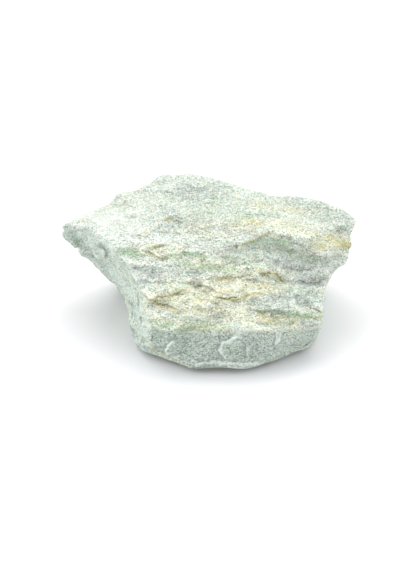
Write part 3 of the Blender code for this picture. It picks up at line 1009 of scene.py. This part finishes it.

# %% [markdown]
# ## The stone's finish
# Close up, the colour comes from single grains: white quartz, green mica and a few dark ones. Each
# grain gets a tone by chance, and some white grains stand in as painted glints. Small plates lie over
# them like scales, with painted highlight and painted shade on their edges; creases, darkened as
# painted shade, and specks run between, and on the left flank all is drawn out into streaks. The
# masks shift the odds: towards white in the pale marks, some of which are painted light, green in the
# bands and grey-green on the fresh sides. The left flank is painted lighter and the up-facing top
# darker, as painted light and shade, and hollows are darkened with dust and painted shade. Rust tints
# whatever grain it reaches.

# %% Grain colours
STONE_TONES = [
    (0.0, light(130, 141, 131)),
    (0.2, light(162, 172, 163)),
    (0.4, light(192, 198, 191)),
    (0.6, light(214, 218, 213)),
    (0.8, light(231, 235, 230)),
    (1.0, light(248, 250, 247)),
]
GRAIN_HUES = [
    (0.15, light(255, 245, 238)),
    (0.4, light(255, 254, 248)),
    (0.62, light(244, 253, 246)),
    (0.85, light(240, 248, 255)),
]
BAND_HUES = [
    (0.32, light(235, 248, 238)),
    (0.46, light(252, 254, 250)),
    (0.56, light(255, 254, 249)),
    (0.7, light(255, 250, 232)),
]
MICA_GREEN = light(206, 226, 202)
FRESH_GREEN = light(239, 246, 242)
CLEAR_QUARTZ = light(204, 209, 218)
WARM_TINT = light(255, 246, 224)
RUST_HAZE = light(251, 244, 212)
RUST = light(216, 213, 164)
OLIVE = light(168, 169, 120)
# the crack line: olive stain with painted shade in the gap
CRACK_STAIN_AND_SHADE = light(126, 126, 90)
# painted highlight and painted shade along the flake edges
RIM_PAINTED_HIGHLIGHT = light(240, 248, 242)
RIM_PAINTED_SHADE = light(140, 152, 143)
print("grain tones:", len(STONE_TONES))

# %% Start the finish and take up the masks
finish = bpy.data.materials.new("fuchsite")
finish.use_nodes = True
tree = finish.node_tree
shader = tree.nodes["Principled BSDF"]
start = Strand(tree, None)


def stored(names):
    """The masks with these names, as they are stored on the skin."""
    kind = "ShaderNodeAttribute"
    return [start.node(kind, {"attribute_name": name}, None, "Fac") for name in names.split()]


ochre, green, grey, pale, warm = stored("ochre green grey pale warm")
crack, rim, crack_side, rim_side = stored("crack rim crack_side rim_side")
hollow_and_edge_shading_mask, valley, upper, fresh, flank = stored("hollow valley upper fresh flank")
print("masks:", len(masks))

# %% Grains and patches
here = start.node("ShaderNodeTexCoord", None, None, "Object")
spot = start.vector("SCALE", {0: here, "Scale": 1000.0})

coarse = spot.grains((1.0, 0.9, 0.8), 3.1)
small = spot.grains((0.5, 0.46, 0.42), 7.7)
tiny = spot.grains((0.31, 0.29, 0.27), 1.3)
fine = spot.cloud((0.29, 0.27, 0.24), 17.7, 2.0, 0.75)
coarse_tone = coarse.part("Red")
small_tone = small.part("Green")
tiny_tone = tiny.part("Red")
# white grains, which also stand in as painted glints
white_grains_and_painted_glints = tiny.part("Green").above(0.84, 0.92)
patches = spot.cloud((3.2, 3.0, 1.6), 11.3)
bands = spot.cloud((9.0, 4.0, 1.0), 5.9, 4.0)
waver = spot.cloud((0.7, 0.7, 0.5), 2.9) - 0.5
hue_bands = spot.cloud((11.0, 5.0, 1.3), 23.1, 4.0)
print("nodes:", len(tree.nodes))

# %% Streaks along the left flank
ridge_start, ridge_end = line_on_stone([(118, 268), (143, 322)])
ridge_way = ridge_end - ridge_start
ridge_way = tuple(ridge_way / np.linalg.norm(ridge_way))
along_ridge = spot.drawn_out(ridge_way, 0.7)
streaks = along_ridge.cloud((1.1, 1.1, 1.1), 8.2)
fine_streaks = along_ridge.cloud((0.32, 0.32, 0.32), 12.4, 2.0, 0.7)
print("streaks run along", [round(float(c), 2) for c in ridge_way])

# %% Plates, and painted highlight and shade on their edges
# the shift toward the light, for painted highlight and shade on the plate edges
PAINTED_LIGHT_SHIFT = (-0.08, 0.15, 0.21)

wavy = {"Vector": spot, "Scale": 0.8, "Detail": 2.0}
wobble = start.node("ShaderNodeTexNoise", None, wavy, "Color")
bent = start.vector("MULTIPLY_ADD", {0: wobble, 1: (1.3, 1.3, 1.0), 2: spot})


def plates(size, seed):
    """The height of each small plate, 0 to 1, and its step to the plate toward the light, -1 to 1,
    for painted light and shade.
    """
    height = bent.grains(size, seed).part("Red")
    toward_light = bent.moved(PAINTED_LIGHT_SHIFT).grains(size, seed).part("Red")
    return height, height - toward_light


scales, scale_painted_shading = plates((0.55, 0.48, 0.32), 2.6)
flakes, flake_painted_shading = plates((1.7, 1.2, 0.7), 6.1)
slabs, slab_painted_shading = plates((4.2, 2.6, 1.3), 9.7)
print("nodes:", len(tree.nodes))

# %% Creases between the grains


def creases(size, seed, width):
    """Thin wandering lines: the places where soft noise passes through its middle."""
    field = bent.cloud(size, seed, 3.0, 0.55)
    return 1 - (field - 0.5).size().above(0.0, width)


wide_creases = creases((4.6, 3.0, 1.8), 31.3, 0.028)
short_creases = creases((1.9, 1.4, 0.9), 35.1, 0.045)
uneven = 1 - upper * 0.72 - fresh * 0.6 - flank * 0.6
crease_share = spot.cloud((3.4, 2.6, 1.7), 38.6).above(0.42, 0.62) * uneven
specks = 1 - tiny.part("Blue").above(0.03, 0.07)
print("nodes:", len(tree.nodes))

# %% Tones and hues
grain = (
    coarse_tone * 0.06
    + small_tone * 0.12
    + (fine - 0.5) * 4.4
    + (tiny_tone - 0.5) * 0.7
    + white_grains_and_painted_glints * (0.28 + fresh * 0.7)
    + fine.above(0.58, 0.72) * fresh * 0.45
    # painted highlight and painted shade on the plate edges
    + scale_painted_shading * 0.3
    + flake_painted_shading * 0.12
    + slab_painted_shading * 0.08
)
calm = 1.32 + grey * 0.3 - upper * 0.6 - pale * 0.55 + fresh * 1.2 + flank * 0.2
tone = (
    grain * calm
    + (fine_streaks - 0.5) * flank * 3.6
    + (streaks - 0.5) * flank * 0.5
    + (patches - 0.5) * 0.16
    + (bands - 0.5) * 0.18
    # painted shade in the creases, which the bump also presses in
    - (wide_creases * 0.8 + short_creases) * crease_share * 0.12
    - specks * 0.08
    + 0.63
    # pale marks, some of them painted light
    + pale * (0.25 + fresh * 0.12)
    + warm * 0.03
    # painted shade: the up-facing top is made darker, against the lamp's stronger light there
    - upper * 0.2
    - green * 0.08
    - grey * (0.07 + fresh * 0.22 + flank * 0.15)
    - fresh * 0.17
    # painted light: the left flank, and steep sides behind by half, are made lighter, in place of
    # light from the left
    + flank * 0.25
    # dust and painted shade in hollows and valleys, painted highlight on edges and ridges
    - (hollow_and_edge_shading_mask - 0.5) * 0.1
    - (valley - 0.5) * 0.1
)
base = tone.coloured(STONE_TONES)
hue = small.part("Red") * 0.45 + tiny.part("Blue") * 0.35 + coarse.part("Blue") * 0.2
grainy = (1 - fresh * 0.3).mix(base, hue.coloured(GRAIN_HUES), "MULTIPLY")
band_share = 0.45 + warm * 0.7 - fresh * 0.3 - flank * 0.4 - pale * 0.4
tinted = band_share.held().mix(grainy, hue_bands.coloured(BAND_HUES), "MULTIPLY")
cooled = (fresh + flank).held().mix(tinted, FRESH_GREEN, "MULTIPLY")
print("nodes:", len(tree.nodes))

# %% Stains over the grains
patchy = small_tone * 0.5 + tiny_tone * 0.5
warmed = (warm * (0.5 + patchy)).held().mix(cooled, WARM_TINT, "MULTIPLY")
green_share = green * 1.5 + patchy * 1.1 + waver - 0.9
greened = green_share.above(0.0, 0.9).mix(warmed, MICA_GREEN, "MULTIPLY")
grey_share = grey * (1.1 - fresh * 0.6) + patchy * 0.6 - 0.4
greyed = grey_share.above(0.1, 1.0).mix(greened, CLEAR_QUARTZ, "MULTIPLY")
hazed = (ochre * 1.2 + patchy * 0.6 - 0.3).above(0.1, 0.9).mix(greyed, RUST_HAZE, "MULTIPLY")
rusted = (ochre * 1.1 + patchy * 0.8 + waver * 1.5 - 1.0).above(0.0, 0.8).mix(hazed, RUST)
olive_line = (ochre + patchy * 0.5 + waver - 1.05).above(0.0, 0.35)
lined = (olive_line * 0.7).mix(rusted, OLIVE)
print("nodes:", len(tree.nodes))

# %% Fine lines of cracks and rims, with stain, painted shade and painted highlight, and the glints
crack_share = patchy + patches * 1.6 - 0.4
# the fine crack line: olive stain and painted shade for the gap the net can't hold
crack_line = (1 - (crack_side + waver * 0.8).size().above(0.05, 0.30)) * crack * crack_share
stained_and_shaded_cracks = crack_line.held().mix(lined, CRACK_STAIN_AND_SHADE)
# painted highlight on the proud side of each flake edge, painted shade just below it
wavy_rim = rim_side + waver * 0.5
proud = wavy_rim.above(0.0, 0.15) * (1 - wavy_rim.above(0.5, 1.0))
below = (1 - wavy_rim.above(-0.1, 0.05)) * wavy_rim.above(-0.8, -0.3)
painted_rim_highlight = proud * rim * (0.6 + patchy * 0.8)
painted_rim_shade = below * rim * (0.3 + patchy * 0.6)
edged = (painted_rim_highlight * 1.1).held().mix(stained_and_shaded_cracks, RIM_PAINTED_HIGHLIGHT)
complete = (painted_rim_shade * 0.7).held().mix(edged, RIM_PAINTED_SHADE)
tree.links.new(complete.socket, shader.inputs["Base Color"])

glint = coarse.part("Blue").above(0.88, 0.93)
roughness = 0.62 + small_tone * 0.25 - glint * 0.3
tree.links.new(roughness.socket, shader.inputs["Roughness"])
shader.inputs["Specular IOR Level"].default_value = 0.4
print("finish nodes:", len(tree.nodes))

# %% [markdown]
# ## Relief finer than the net
# The smallest grains are under half a millimetre, finer than the net. A Bump node tilts the light
# on them instead. It adds the heights of the small plates to the rounded tops of the grains, and
# presses the creases in.

# %% Fine relief
BUMP_DEPTH = 0.5 * MM

dome = spot.grains((0.4, 0.38, 0.35), 4.4, "Distance")
pressed = (wide_creases + short_creases) * crease_share
plate_height = scales * 0.4 + flakes * 0.5 + slabs * 0.4
height = plate_height + (1 - dome) * 0.5 + tiny_tone * 0.4 - pressed * 0.4
bump = {"Strength": 1.0, "Distance": BUMP_DEPTH, "Height": height}
relief = start.node("ShaderNodeBump", None, bump)
tree.links.new(relief.socket, shader.inputs["Normal"])
stone.data.materials.clear()
stone.data.materials.append(finish)
print("finish:", finish.name)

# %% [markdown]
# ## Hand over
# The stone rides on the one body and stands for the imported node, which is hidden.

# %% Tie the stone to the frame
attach(stone, "root")
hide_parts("stone")
